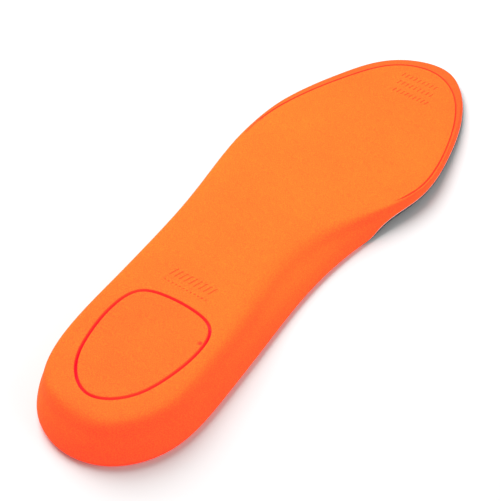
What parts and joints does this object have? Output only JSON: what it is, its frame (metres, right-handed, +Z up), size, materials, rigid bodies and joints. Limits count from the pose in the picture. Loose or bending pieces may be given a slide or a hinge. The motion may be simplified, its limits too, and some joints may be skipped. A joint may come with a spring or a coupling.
{
  "type": "cushioned insole",
  "caption": "Full-length moulded foam insole for a right foot, with a heel cup, an arch support and a heel cushion let into its underside.",
  "frame": {"origin": "centre of the bounding box at the table the insole lies on, upside down", "axes": "+Z up, out of the underside; +Y from heel to toe; +X towards the arch side"},
  "size_m": [0.1, 0.3049, 0.0217],
  "materials": {
    "foam": "matt moulded polyurethane foam skin, bright orange",
    "cushion": "matt softer foam, bright orange",
    "bond": "cured adhesive, red-orange, slightly glossy",
    "film": "thin hot-melt film",
    "textile": "brushed polyester knit, charcoal"
  },
  "bodies": {
    "root": {"foam_base": "foam", "heel_insert": "cushion", "insert_bond": "bond", "cover_film": "film", "top_cover": "textile"}
  },
  "joints": []
}
